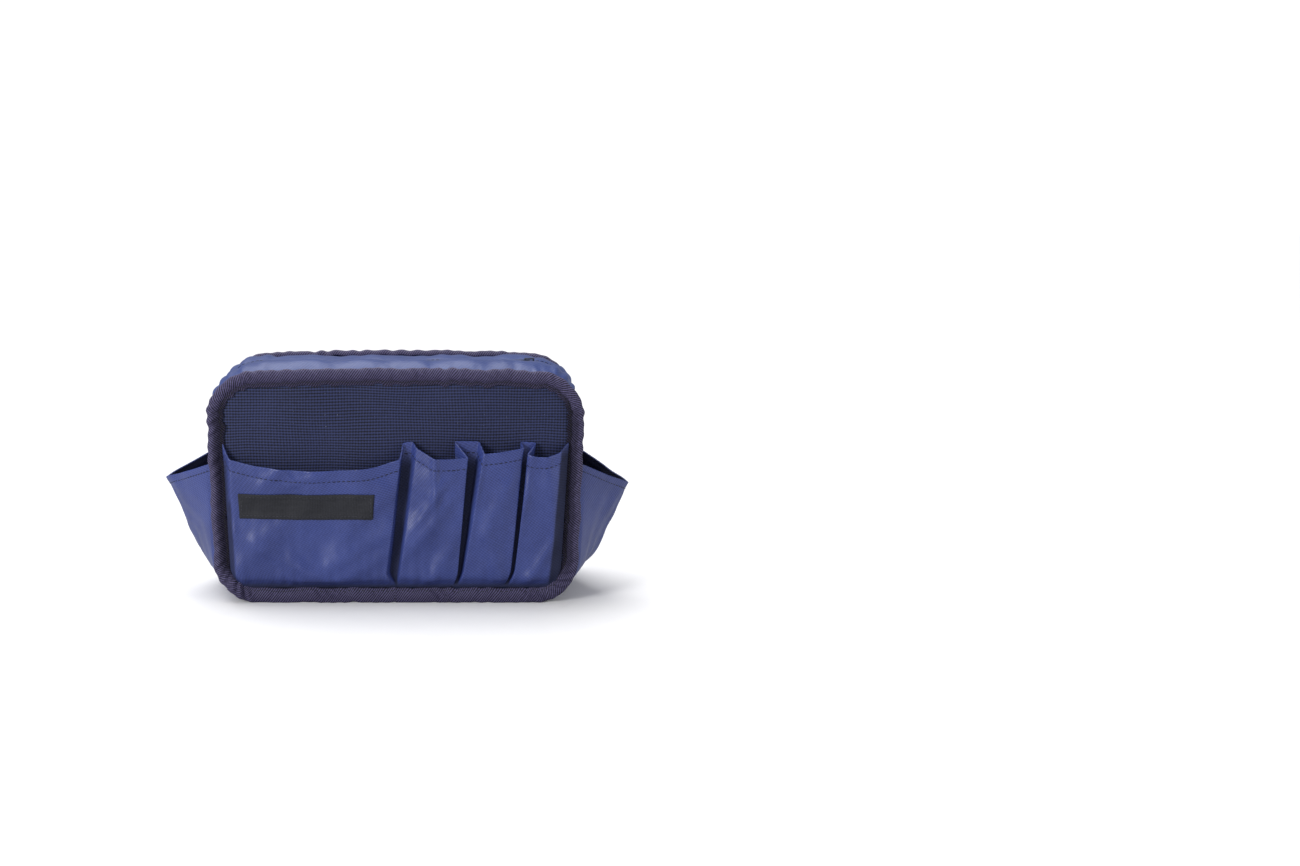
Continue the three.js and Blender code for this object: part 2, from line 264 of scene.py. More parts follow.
def tube(name, path, sideways, upwards, radius, sides, material):
    """A closed tube: a circle of points round each point of a path, and a fan at either end."""
    angle = np.linspace(0, 2 * math.pi, sides, endpoint=False)
    circle = (
        path[:, None]
        + np.cos(angle)[None, :, None] * sideways[:, None] * radius
        + np.sin(angle)[None, :, None] * upwards[:, None] * radius
    )
    vertices = np.concatenate([circle.reshape(-1, 3), path[:1], path[-1:]])
    near = np.arange(sides)
    far = near + sides * (len(path) - 1)
    first, last = len(vertices) - 2, len(vertices) - 1
    near_fan = np.stack([0 * near + first, np.roll(near, -1), near], axis=-1)
    far_fan = np.stack([0 * far + last, far, np.roll(far, -1)], axis=-1)
    faces = grid_faces(len(path), sides, 0, True).tolist() + near_fan.tolist() + far_fan.tolist()
    return mesh_object(name, vertices, faces, material)


def stitches(name, rows_of_stitches, material, pitch=STITCH_PITCH, thick=0.3 * MM):
    """Rows of separate stitches. Each row is a path and its normals.

    A stitch is a spindle, six-sided and round at its ends, laid along the path and centred on it. It fills
    0.72 of the pitch and is a fifth flatter than it is wide.
    """
    along = np.array([-1, -0.8, 0, 0.8, 1]) * 0.36 * pitch
    girth = np.array([0.25, 0.85, 1, 0.85, 0.25])[:, None] * thick
    angle = np.arange(6) * math.pi / 3
    template = grid_faces(5, 6, 0, True)
    caps = np.array([[5, 4, 3, 2, 1, 0], [24, 25, 26, 27, 28, 29]])
    vertices, faces, made = [], [], 0
    for path, normal in rows_of_stitches:
        place = np.concatenate([[0], np.cumsum(np.linalg.norm(np.diff(path, axis=0), axis=1))])
        count = max(1, int(place[-1] / pitch))
        at = (np.arange(count) + 0.5) * place[-1] / count

        def read(values, where):
            return np.stack([np.interp(where, place, values[:, k]) for k in range(3)], axis=1)

        centre, up = read(path, at), read(normal, at)
        tangent = read(path, at + 0.3 * MM) - read(path, at - 0.3 * MM)
        tangent /= np.maximum(np.linalg.norm(tangent, axis=1, keepdims=True), 1e-9)
        side = np.cross(tangent, up)
        spindle = (
            centre[:, None, None]
            + tangent[:, None, None] * along[None, :, None, None]
            + side[:, None, None] * (girth * np.cos(angle))[None, :, :, None]
            + up[:, None, None] * (girth * np.sin(angle) * 0.8)[None, :, :, None]
        )
        vertices.append(spindle.reshape(-1, 3))
        starts = made + 30 * np.arange(count)
        faces += (template[None] + starts[:, None, None]).reshape(-1, 4).tolist()
        faces += (caps[None] + starts[:, None, None]).reshape(-1, 6).tolist()
        made += 30 * count
    return mesh_object(name, np.concatenate(vertices), faces, material)


def hem_stitches(name, points, below, skip, lift, facing=1):
    """A row of navy stitches below a cloth's top edge, short of its ends. facing -1 takes its other side."""
    z = points[..., 2]
    row = 1 - below / (z[-1] - z[0])
    column = np.linspace(0, 1, z.shape[1])
    path = sampled(points, column, row)[skip:-skip]
    normal = sampled(normals_of(points), column, row)[skip:-skip] * facing
    settle(stitches(name, [(path + normal * lift, normal)], navy_thread))


# --- Materials ---


def linear(code, share=1.0):
    """An sRGB hex colour as linear red, green, blue and alpha, with that share of its light."""
    value = np.array([int(code[i : i + 2], 16) for i in (0, 2, 4)]) / 255
    value = np.where(value <= 0.04045, value / 12.92, ((value + 0.055) / 1.055) ** 2.4)
    return (*np.minimum(value * share, 1).tolist(), 1.0)


def new_material(name):
    material = bpy.data.materials.new(name)
    material.use_nodes = True
    tree = material.node_tree
    return material, tree, tree.nodes["Principled BSDF"]


def wire(tree, node, inputs):
    """Set each of a node's inputs to a value, or link it to another node's output."""
    for key, value in inputs.items():
        if isinstance(value, bpy.types.NodeSocket):
            tree.links.new(value, node.inputs[key])
        else:
            node.inputs[key].default_value = value


def add(tree, kind, inputs=None, **settings):
    """A node with its settings and its inputs."""
    made = tree.nodes.new(kind)
    for key, value in settings.items():
        setattr(made, key, value)
    wire(tree, made, inputs or {})
    return made


def noise(tree, scale, detail):
    """Random mottle fixed to the object, of about that many patches to the metre."""
    spot = add(tree, "ShaderNodeTexCoord").outputs["Object"]
    return add(tree, "ShaderNodeTexNoise", {"Vector": spot, "Scale": scale, "Detail": detail}).outputs["Fac"]


def ranged(tree, value, low, high):
    """A value that runs from 0 to 1 carried to between low and high."""
    return add(tree, "ShaderNodeMapRange", {"Value": value, "To Min": low, "To Max": high}).outputs["Result"]


def ramped(tree, value, start, end, first, last):
    """A linear colour that runs from first to last as the value goes from start to end."""
    ramp = add(tree, "ShaderNodeValToRGB", {0: value})
    for element, position, colour in zip(ramp.color_ramp.elements, (start, end), (first, last)):
        element.position = position
        element.color = colour
    return ramp.outputs["Color"]


def scaled(tree, colour, share):
    """A colour times a share."""
    made = add(tree, "ShaderNodeVectorMath", {0: colour, "Scale": share}, operation="SCALE")
    return made.outputs["Vector"]


def raised(tree, height, strength, distance):
    """The normal of a surface raised by that distance where height is 1."""
    made = add(tree, "ShaderNodeBump", {"Strength": strength, "Distance": distance, "Height": height})
    return made.outputs["Normal"]


def thread_wave(tree, place, direction, pitch):
    """From 0 to 1 and back once each pitch along direction: half a sine of the distance, plus a half."""
    number = 2 * math.pi / pitch
    step = (direction[0] * number, direction[1] * number, 0)
    dot = add(tree, "ShaderNodeVectorMath", {0: place, 1: step}, operation="DOT_PRODUCT").outputs["Value"]
    wave = add(tree, "ShaderNodeMath", {0: dot}, operation="SINE").outputs[0]
    return add(tree, "ShaderNodeMath", {0: wave, 1: 0.5, 2: 0.5}, operation="MULTIPLY_ADD").outputs[0]


def woven(name, dark, light, pitch, slant, relief, roughness, sheen=0.0, sheen_tint="ffffff", patches=0.35,
          specular=0.5, crossing=1.35, plain=0.35):
    """Woven cloth. Diagonal ribs and the threads that cross them shade its colour and raise its surface.

    dark and light are its colours between and on the threads. slant is the ribs' angle in degrees. crossing
    is the pitch of the crossing threads as a multiple of the ribs', and plain is their share of the pattern.
    Where a piece marks its points with painted shade, in folds, pleats and pockets, its colour is darkened,
    down to 0.15 of itself, and the cloth is also made rougher.
    """
    material, tree, shader = new_material(name)
    place = add(tree, "ShaderNodeUVMap", uv_map="cloth").outputs["UV"]
    ribs = (math.cos(math.radians(slant)), math.sin(math.radians(slant)))
    rib = thread_wave(tree, place, ribs, pitch)
    cross = thread_wave(tree, place, (-ribs[1], ribs[0]), pitch * crossing)
    weave = add(tree, "ShaderNodeMix", {0: plain, 2: rib, 3: cross}).outputs[0]
    slub = noise(tree, 900.0, 2.0)
    worn = add(tree, "ShaderNodeMix", {0: patches, 2: weave, 3: noise(tree, 38.0, 3.0)}).outputs[0]
    tone = add(tree, "ShaderNodeMix", {0: 0.25, 2: worn, 3: slub}).outputs[0]
    colour = ramped(tree, tone, 0.25, 0.75, linear(dark), linear(light))
    rough = ranged(tree, tone, roughness + 0.1, roughness - 0.06)
    # Painted shade: this attribute darkens the colour where shade falls in folds, pleats and pockets.
    deep = add(tree, "ShaderNodeAttribute", attribute_name="painted_shade").outputs["Fac"]
    dulling = {0: deep, 1: 0.45, 2: rough}
    duller = add(tree, "ShaderNodeMath", dulling, operation="MULTIPLY_ADD", use_clamp=True)
    height = add(tree, "ShaderNodeMath", {0: weave, 1: slub}, operation="ADD").outputs[0]
    wire(tree, shader, {
        "Base Color": scaled(tree, colour, ranged(tree, deep, 1.0, 0.15)),
        "Specular IOR Level": specular,
        "Roughness": duller.outputs[0],
        "Normal": raised(tree, height, 0.6, relief),
        "Sheen Weight": sheen,
        "Sheen Roughness": 0.4,
        "Sheen Tint": linear(sheen_tint),
    })
    return material


# Nylon taffeta, calendered: a soft sheen on its folds and a fine slanting weave, a little coarse to show.
nylon = woven("nylon_taffeta_woven", "283268", "45549a", 1.25 * MM, 58, 0.1 * MM, 0.37, patches=0.5)
# The same nylon on the gusset. It looks paler where light rakes over its top; its colour is a darker copy of
# the nylon's, painted shade that holds that light down, with a faint blue sheen.
gusset_nylon_shaded = woven("nylon_taffeta_gusset", "22336a", "374b8b", 1.25 * MM, 58, 0.1 * MM, 0.34, sheen=0.04,
                     sheen_tint="a8bcff", specular=0.33)
# Polyester bias tape in a steep twill, matt, with a purple cast.
twill = woven("polyester_twill_tape", "100e1c", "5d5780", 1.2 * MM, 35, 0.4 * MM, 0.6, sheen=0.1,
              sheen_tint="b7a8d0", patches=0.15, specular=0.3, plain=0.12)
# Knitted polyester netting: matt threads that catch a little light. The near-black between the threads is
# painted shade, standing in for the dim inside of the bag seen through openings that are kept nearly shut.
netting = woven("polyester_net_knitted", "080b18", "353d68", NET_CELL, 90, 0.15 * MM, 0.6, sheen=0.05,
                sheen_tint="9aa4d8", patches=0.2, specular=0.3, crossing=1.0)
# Damask label cloth: close, dull and nearly black.
damask = woven("damask_label_woven", "1b1c21", "35363d", 0.7 * MM, 90, 0.05 * MM, 0.7, sheen=0.08,
               specular=0.3)
# Woven zip tape, matt navy.
zip_tape_cloth = woven("zip_tape_woven", "1f2546", "353d69", 0.9 * MM, 90, 0.06 * MM, 0.7, specular=0.3)
# Knitted elastic with lengthwise ribs.
elastic_cloth = woven("elastic_braided", "161a2c", "2b3150", 0.8 * MM, 90, 0.12 * MM, 0.75, specular=0.3)


def thread_material(name, colour, roughness=0.55):
    """Spun sewing thread: one colour broken by the twist of its plies."""
    material, tree, shader = new_material(name)
    twist = noise(tree, 2500.0, 2.0)
    wire(tree, shader, {
        "Base Color": ramped(tree, twist, 0.3, 0.7, linear(colour, 0.6), linear(colour)),
        "Normal": raised(tree, twist, 0.4, 0.05 * MM),
        "Roughness": roughness,
    })
    return material


navy_thread = thread_material("polyester_thread_navy", "141834")
black_thread = thread_material("polyester_thread_black", "0e0f14")
label_thread = thread_material("polyester_thread_charcoal", "3a3c46")
coil_nylon = thread_material("nylon_coil_moulded", "2a3158", 0.38)


def painted_metal(name, colour):
    """Zinc die casting under dark enamel: smooth, with faint mottle and rubbed paler spots."""
    material, tree, shader = new_material(name)
    mottle = noise(tree, 700.0, 4.0)
    wire(tree, shader, {
        "Base Color": ramped(tree, mottle, 0.35, 0.8, linear(colour, 0.75), linear(colour, 1.5)),
        "Roughness": ranged(tree, mottle, 0.28, 0.5),
        "Normal": raised(tree, mottle, 0.15, 0.02 * MM),
        "Metallic": 0.6,
    })
    return material


zip_metal = painted_metal("zinc_enamelled_dark", "3d4254")

# --- The outline of the body ---


def outline_knots():
    """Where the outline's straights and corners meet, from the middle of the base anticlockwise.

    Returns the distance along the outline, the angle that faces out, the centre that the outline turns about,
    across and up, and its radius.
    """
    foot_x = HALF_WIDTH - FOOT_RADIUS - FOOT_DRAW_IN
    top_x = HALF_WIDTH - TOP_RADIUS - TOP_DRAW_IN
    top_z = HEIGHT - TOP_RADIUS
    quarter = math.pi / 2
    side = HEIGHT - TOP_RADIUS - FOOT_RADIUS
    lengths = [foot_x, FOOT_RADIUS * quarter, side, TOP_RADIUS * quarter, 2 * top_x]
    lengths += lengths[3::-1]
    distance = np.concatenate([[0], np.cumsum(lengths)])
    angle = np.array([-1, -1, 0, 0, 1, 1, 2, 2, 3, 3]) * quarter
    x = np.array([0, foot_x, foot_x, top_x, top_x, -top_x, -top_x, -foot_x, -foot_x, 0])
    z = np.array([FOOT_RADIUS] * 3 + [top_z] * 4 + [FOOT_RADIUS] * 3)
    radius = np.array([FOOT_RADIUS] * 3 + [TOP_RADIUS] * 4 + [FOOT_RADIUS] * 3)
    return distance, angle, x, z, radius


KNOTS = outline_knots()
PERIMETER = KNOTS[0][-1]
SIDE_START = KNOTS[0][2]  # where the right side begins, above its lower corner


def outline(distance, inset=0.0):
    """Points on the outline at distances along it, moved in by inset: a radius about a moving centre."""
    angle, x, z, radius = (np.interp(distance, KNOTS[0], k) for k in KNOTS[1:])
    reach = radius - inset
    return x + reach * np.cos(angle), z + reach * np.sin(angle), angle


def cornerness(distance):
    """1 in the middle of each corner of the outline and 0 on its straights."""
    starts, ends = KNOTS[0][[1, 3, 5, 7]], KNOTS[0][[2, 4, 6, 8]]
    return sum(bump(distance, (a + b) / 2, (b - a) * 0.6) for a, b in zip(starts, ends))


# --- Binding tape ---


def binding(name, node, side, seed):
    """The tape folded over a seam, as a profile carried round the outline.

    Its front is a bead, a raised sine of the inset, with a flat inner edge, and it turns over the edge of the
    bag by a quarter circle. Ripples across the tape pucker it, most at the corners. Its top is crowned: it
    falls by the square of the way from the middle. Its flat inner edge and the inner half of its upright
    sides are darkened with painted shade, for the shadow of the bead and of its folds.
    """
    around = np.linspace(0, PERIMETER, 900, endpoint=False)

    def wave(length, n):
        return puckers(around / length, 1.0, seed + n, 9)

    corner = cornerness(around)
    level = outline(around)[1] / HEIGHT
    bead = mix(8.8, 6.2, smooth((level - 0.04) / 0.2)) * MM
    flap, turned = 22, 10
    on_flap = np.arange(flap + turned)[:, None] < flap
    part = np.linspace(0, 1, flap)[:, None]
    inset = BINDING_WIDTH * (1 - part) * (1 + 0.05 * wave(11 * MM, 1) * (1 - part))
    inset = inset + 0.35 * MM * corner * wave(6 * MM, 2) * (1 - part)
    rise = np.sin(math.pi * np.clip(inset / bead, 0, 1)) ** 0.6
    stand = 0.45 * MM + 1.75 * MM * rise
    slanting = puckers(around[None] + 0.8 * inset, 6.5 * MM, seed + 3, 9)
    tight = puckers(around[None] - 0.5 * inset, 3.6 * MM, seed + 4, 9)
    stand = stand + (0.42 + 0.1 * corner) * MM * slanting * rise + (0.14 + 0.05 * corner) * MM * tight * rise
    turn = np.linspace(0, math.pi / 2, turned)[:, None]
    back_inset = BINDING_TURN * (1 - np.cos(turn)) + 0.25 * MM * wave(9 * MM, 5) * np.sin(2 * turn)
    back_stand = -0.6 * MM - BINDING_TURN * np.sin(turn) + 0 * around
    inset = np.concatenate([inset, back_inset])
    stand = np.concatenate([stand, back_stand])
    lean = 0.35 * MM * wave(30 * MM, 6) + 0.25 * MM * wave(9 * MM, 7)
    if side > 0:
        lean = lean - 1.4 * MM * smooth((level - 0.9) / 0.08)
    x, z, _ = outline(around[None], inset + lean)
    z = z - 1.6 * MM * (x / (HALF_WIDTH - TOP_RADIUS)) ** 2 * smooth((z - 0.75 * HEIGHT) / (0.2 * HEIGHT))
    z = np.maximum(z, 0.15 * MM)
    points = np.stack([x, side * (MESH_Y + stand), z], axis=-1)
    # Painted shade: the flat inner edge and the inner half of the upright sides are darkened in colour.
    ring = smooth((inset - bead + 0.4 * MM) / (1 * MM)) * on_flap
    ring_shade = mix(0.9, 0.5, smooth((level - 0.85) / 0.1))
    upright = smooth((0.9 - level) / 0.12) * smooth((level - 0.06) / 0.12)
    inner_half = smooth((inset / bead - 0.3) / 0.4) * on_flap
    painted_shade = np.maximum(ring_shade * ring, 0.62 * upright * inner_half)
    piece = sheet(name, points, TAPE, twill, wrap=True, flip=side > 0, painted_shade=painted_shade)
    settle(piece, node)
    sewn = points[4]
    outwards = np.broadcast_to([0.0, side, 0.0], sewn.shape)
    row = (sewn + outwards * 0.3 * MM, outwards)
    settle(stitches(f"{name}_stitches", [row], black_thread, thick=0.2 * MM))


# --- Mesh panels ---


def mesh_panel(name, node, side, pitch, seed):
    """Netting with real holes. Each cell of a square grid is a ring of four faces round a hole.

    The corners of the cells, where threads cross, stand up a little. The threads wander, and the panel swells
    softly.
    """
    columns = int(2 * (HALF_WIDTH - NET_EDGE) / pitch)
    rows = int((HEIGHT - 2 * NET_EDGE) / pitch)
    x_lines = (np.arange(columns + 1) - columns / 2) * pitch
    z_lines = HEIGHT / 2 + (np.arange(rows + 1) - rows / 2) * pitch
    x, z = np.meshgrid(x_lines, z_lines)
    wander = 0.25 * pitch * ripple(x, z, 45 * MM, seed + 1)
    inside = smooth((HALF_WIDTH - 1.5 * NET_EDGE - np.abs(x)) / (15 * MM))
    x = x + wander * inside
    z = z - wander[:, ::-1] * inside
    centre_x = (x[:-1, :-1] + x[1:, 1:]) / 2
    centre_z = (z[:-1, :-1] + z[1:, 1:]) / 2
    radius = TOP_RADIUS - NET_EDGE
    past_x = np.maximum(np.abs(centre_x) - (HALF_WIDTH - NET_EDGE - radius), 0)
    past_z = np.maximum(np.abs(centre_z - HEIGHT / 2) - (HEIGHT / 2 - NET_EDGE - radius), 0)
    keep = np.hypot(past_x, past_z) < radius
    random = np.random.default_rng(seed)
    hole = pitch * (0.04 + 0.006 * random.standard_normal(centre_x.shape))
    corners = [(-1, -1), (1, -1), (1, 1), (-1, 1)]
    holes = [np.stack([centre_x + a * hole, centre_z + b * hole], axis=-1) for a, b in corners]
    inner = np.stack(holes, axis=2)
    outer_count = (rows + 1) * (columns + 1)
    grid = np.arange(outer_count).reshape(rows + 1, columns + 1)
    ring = np.stack([grid[:-1, :-1], grid[:-1, 1:], grid[1:, 1:], grid[1:, :-1]], axis=-1)
    hole_index = outer_count + np.arange(rows * columns * 4).reshape(rows, columns, 4)
    next_ring, next_hole = np.roll(ring, -1, axis=-1), np.roll(hole_index, -1, axis=-1)
    faces = np.stack([ring, next_ring, next_hole, hole_index], axis=-1)[keep].reshape(-1, 4)
    plane = np.concatenate([np.stack([x, z], axis=-1).reshape(-1, 2), inner.reshape(-1, 2)])
    swell = 0.35 * MM * ripple(plane[:, 0], plane[:, 1], 45 * MM, seed)
    thread = np.concatenate([np.full(outer_count, 0.16 * MM), np.zeros(rows * columns * 4)])
    y = side * (MESH_Y - 0.35 * MM + swell + thread)
    used, faces = np.unique(faces, return_inverse=True)
    faces = faces.reshape(-1, 4)
    vertices = np.stack([plane[:, 0], y, plane[:, 1]], axis=-1)[used]
    if side > 0:
        faces = faces[:, ::-1]
    cells = np.stack([np.arange(columns + 1)[None] + 0 * x, np.arange(rows + 1)[:, None] + 0 * x], axis=-1)
    middles = cells[:-1, :-1, None] + 0.5 + 0.1 * np.array(corners)
    pattern = (np.concatenate([cells.reshape(-1, 2), middles.reshape(-1, 2)]) + 0.25) * NET_CELL
    piece = mesh_object(name, vertices, faces.tolist(), netting, pattern[used])
    settle(piece, node)


# --- Gusset and zip ---


def zip_run(count, end_z=ZIP_END_Z):
    """Distances along the outline from one end of the zip over the top to the other."""
    start = SIDE_START + end_z - FOOT_RADIUS
    return np.linspace(start, PERIMETER - start, count)


def lip_height(distance, around, side):
    """How far a lip stands out of the outline at a distance from the zip: the sine of its way to the fold.

    The front lip is crowned more than the rear one, and both flatten round the corners and down the sides.
    """
    across = np.clip((GUSSET_Y - distance) / (GUSSET_Y - VALLEY_HALF), 0, 1)
    top_start = KNOTS[0][4] - 12 * MM
    on_top = smooth((around - top_start) / (25 * MM)) * smooth((PERIMETER - top_start - around) / (25 * MM))
    crown = mix(3.2 * MM, LIP_TOP + GUSSET_INSET - (0.8 * MM if side < 0 else 3.3 * MM), on_top)
    return -GUSSET_INSET + crown * np.sin(0.93 * math.pi * across)


def lip(name, node, side, seed):
    """One lip of the zip gusset: an arch from the binding to a fold over the zip, rippled along its length.

    Returns the path of its stitches and their normals.
    """
    around = zip_run(330)[None]
    across = np.linspace(0, 1, 44)[:, None]
    distance = mix(GUSSET_Y + 0.2 * MM, VALLEY_HALF, across)
    sway = 0.8 * MM * puckers(around, 38 * MM, seed, 5)
    sway = np.maximum(sway, -0.1 * MM)  # the fold leans away from the slider, never over it
    arch = np.sin(math.pi * across)
    out = lip_height(distance, around, side)
    out = out + 0.7 * MM * ripple(around, distance, 34 * MM, seed + 1, 8, math.pi / 2, 1.0) * arch
    fine = ripple(around, distance, 13 * MM, seed + 2, 8, math.pi / 2, 0.7)
    out = out + 0.35 * MM * fine * (1 - across) * arch
    out = out + 0.25 * MM * puckers(around, 6 * MM, seed + 3) * (1 - across) ** 6
    corner = cornerness(around)
    out = out + 0.6 * MM * corner * ripple(around, distance, 9 * MM, seed + 4, 8, math.pi / 2, 0.5) * arch
    x, z, _ = outline(around + 0 * across, -out)
    y = side * (distance + sway * across * 0.8)
    points = np.stack([x, y + 0 * x, z], axis=-1)
    x2, z2, _ = outline(around, -(out[-1:] - 1.4 * MM))
    under = np.stack([x2, side * (VALLEY_HALF + 0.8 * sway + 0.2 * MM), z2], axis=-1)
    x3, z3, _ = outline(around, -(out[-1:] - 1.9 * MM))
    back = np.stack([x3, side * (VALLEY_HALF + 6 * MM + 0 * x3), z3], axis=-1)
    middle = (points[-1:] + under) / 2 - np.array([0, side * 0.45 * MM, 0])
    points = np.concatenate([points, middle, under, (under + back) / 2, back])
    piece = sheet(name, points, CLOTH, gusset_nylon_shaded, flip=side < 0)
    settle(piece, node)
    sewn = 38  # the row of the grid where the lip is sewn to its tape, beside the fold
    return points[sewn], normals_of(points)[sewn] * side


def lower_gusset():
    """The base and lower sides: a band that sags to the ground between the bindings, rippled across.

    Painted shade darkens it where it is the back wall inside a side pocket.
    """
    start = SIDE_START + ZIP_END_Z - FOOT_RADIUS
    around = np.linspace(-start, start, 300)[None]
    wrapped = np.mod(around, PERIMETER)
    across = np.linspace(-1, 1, 46)[:, None]
    _, _, angle = outline(wrapped)
    downwards = np.maximum(0, -np.sin(angle))
    inset = GUSSET_INSET * (1 - 0.85 * downwards * (1 - across**4))
    ripples = 0.5 * MM * ripple(around, across * GUSSET_Y, 24 * MM, 71, 9, math.pi / 2, 1.2)
    inset = inset + ripples * (1 - across**2) * (1 - 0.8 * downwards)
    x, z, _ = outline(wrapped + 0 * across, inset)
    z = np.maximum(z, 0.35 * MM)
    points = np.stack([x, across * (GUSSET_Y + 0.8 * MM) + 0 * x, z], axis=-1)
    # Painted shade: darker colour on the gusset inside each side pocket, deepening downwards from the rim.
    pocket_shade = 0.9 * smooth((SIDE_RIM_Z + 2 * MM - z) / (26 * MM)) * smooth((z - SIDE_FOOT_Z) / (5 * MM))
    piece = sheet("lower_gusset_cloth", points, CLOTH, nylon, flip=True, painted_shade=pocket_shade)
    settle(piece, "lower_gusset")


def zip_tape(name, node, side):
    """A tape under each lip, level near the coil, then following the lip."""
    around = zip_run(200)[None]
    distance = np.linspace(15 * MM, 2.3 * MM, 16)[:, None]
    top = lip_height(np.maximum(distance, VALLEY_HALF), around, side) - 2 * MM
    x, z, _ = outline(around + 0 * distance, -top)
    points = np.stack([x, side * distance + 0 * x, z], axis=-1)
    piece = sheet(name, points, TAPE, zip_tape_cloth, flip=side < 0)
    settle(piece, node)


def zip_coil(name, node, side):
    """A coil sewn to its tape's edge: a thread wound round the zip's line, one round turn each pitch."""
    run = zip_run(2, COIL_LOW.z)
    turns = int(np.ptp(run) / COIL_PITCH)
    steps_a_turn = 9
    wound = 0.66 * MM
    place = np.linspace(run[0], run[1], turns * steps_a_turn + 1)
    phase = np.linspace(0, 2 * math.pi * turns, turns * steps_a_turn + 1) + (math.pi if side > 0 else 0)
    out = COIL_HIGH.z - HEIGHT - 0.9 * MM + wound * np.sin(phase)
    y = side * (1.23 * MM + wound * np.cos(phase))
    x, z, angle = outline(place, -out)
    path = np.stack([x, y, z], axis=-1)
    tangent = np.gradient(path, axis=0)
    tangent /= np.linalg.norm(tangent, axis=1, keepdims=True)
    outwards = np.stack([np.cos(angle), 0 * angle, np.sin(angle)], axis=-1)
    sideways = np.cross(tangent, outwards)
    sideways /= np.linalg.norm(sideways, axis=1, keepdims=True)
    upwards = np.cross(sideways, tangent)
    piece = tube(name, path, sideways, upwards, 0.22 * MM, 5, coil_nylon)
    settle(piece, node)


def softened(node, name, body, edge):
    """A cast piece of the zip: the frame's own solid with its edges rounded over."""
    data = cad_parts[node].data.copy()
    piece = bpy.data.objects.new(name, data)
    bpy.context.scene.collection.objects.link(piece)
    data.materials.clear()
    data.materials.append(zip_metal)
    weld = piece.modifiers.new("weld", "WELD")
    weld.merge_threshold = 0.01 * MM
    flat = piece.modifiers.new("flat", "DECIMATE")
    flat.decimate_type = "DISSOLVE"
    flat.angle_limit = math.radians(4)
    bevel = piece.modifiers.new("bevel", "BEVEL")
    bevel.width = edge
    bevel.segments = 3
    bevel.limit_method = "ANGLE"
    bevel.angle_limit = math.radians(40)
    bevel.use_clamp_overlap = True
    finished = bpy.data.meshes.new_from_object(piece.evaluated_get(bpy.context.evaluated_depsgraph_get()))
    piece.modifiers.clear()
    piece.data = finished
    finished.name = name
    finished.polygons.foreach_set("use_smooth", np.ones(len(finished.polygons), bool))
    finished.set_sharp_from_angle(angle=math.radians(35))
    settle(piece, node, body)


# --- Front pockets ---

# The strip's way along the mouths of the pockets, from the left seam to the right, in millimetres: how far
# along the face, how far it stands off it, how high its hem is, where it meets the foot, how far it stands
# off there, and how softly it turns. Between pockets it goes back to the face, and their corners overhang it.
STRIP = np.array([
    # x     stand  hem   foot x  stand turn
    [-100.8, 0.2, 96.5, -97.5, 0.2, 1.2],
    [-98.6, 2.8, 91.2, -95.6, 1.6, 1.0],
    [-96.4, 5.4, 87.6, -92.8, 3.6, 0.9],
    [-80.0, 7.6, 83.8, -80.0, 3.4, 7.0],
    [-56.5, 8.8, 81.4, -56.0, 3.8, 9.0],
    [-33.0, 8.8, 81.6, -36.0, 4.2, 9.0],
    [-13.5, 8.2, 82.8, -19.0, 4.4, 6.0],
    [2.8, 7.6, 88.2, -7.4, 5.0, 0.7],
    [4.6, 0.4, 96.8, -4.6, 0.3, 0.8],
    [10.0, 0.4, 97.4, -0.6, 0.3, 0.8],
    [12.4, 5.4, 94.4, 0.6, 4.0, 1.0],
    [22.5, 9.8, 88.8, 12.0, 4.6, 2.2],
    [31.0, 10.4, 88.4, 24.0, 4.2, 6.0],
    [42.0, 9.2, 89.4, 35.4, 4.0, 0.7],
    [34.6, 1.0, 97.6, 33.2, 0.5, 0.8],
    [37.0, 0.4, 97.8, 34.2, 0.3, 0.8],
    [48.6, 0.5, 97.6, 36.8, 0.3, 0.8],
    [51.6, 7.8, 91.6, 38.0, 3.6, 1.0],
    [63.0, 9.4, 92.8, 52.0, 4.4, 6.0],
    [74.2, 6.6, 94.8, 66.4, 3.8, 0.7],
    [73.0, 0.6, 97.4, 65.0, 0.3, 0.8],
    [81.8, 0.5, 97.0, 67.8, 0.3, 0.8],
    [76.4, 7.8, 91.4, 69.0, 3.8, 1.0],
    [85.0, 9.8, 89.2, 79.6, 4.4, 6.0],
    [95.2, 7.2, 91.8, 89.0, 4.0, 0.7],
    [100.8, 0.3, 97.0, 97.0, 0.2, 1.0],
])

FRONT_CREASES = [
    # from x, z    to x, z   height width
    (-80, 70, -68, 81, 0.8, 3.4),
    (-66, 82, -58, 74, 1.1, 2.2),
    (-58, 74, -44, 79, 0.7, 2.7),
    (-94, 22, -70, 44, 1.8, 7.3),
    (-76, 34, -58, 24, 1.7, 5.5),
    (-54, 46, -30, 38, -1.2, 8.5),
    (-44, 20, -22, 34, 1.9, 6.7),
    (-30, 16, -14, 26, 1.4, 4.9),
    (-24, 48, -10, 62, 1.2, 5.5),
    (23, 88, 23, 64, 1.7, 2.1),
    (23, 66, 14, 52, 1.7, 3.2),
    (28, 58, 12, 38, 1.7, 4.4),
    (30, 32, 20, 14, 1.4, 4.4),
    (50, 88, 46, 66, 1.3, 2.2),
    (47, 70, 43, 40, 1.2, 2.9),
    (62, 66, 52, 44, 1.2, 4.4),
    (56, 34, 61, 16, 1.8, 3.9),
    (79, 88, 75, 62, 1.4, 2.3),
    (76, 64, 73, 48, 1.2, 3.2),
    (79, 16, 92, 38, 1.9, 3.7),
    (88, 88, 91, 60, 1.1, 3.4),
]


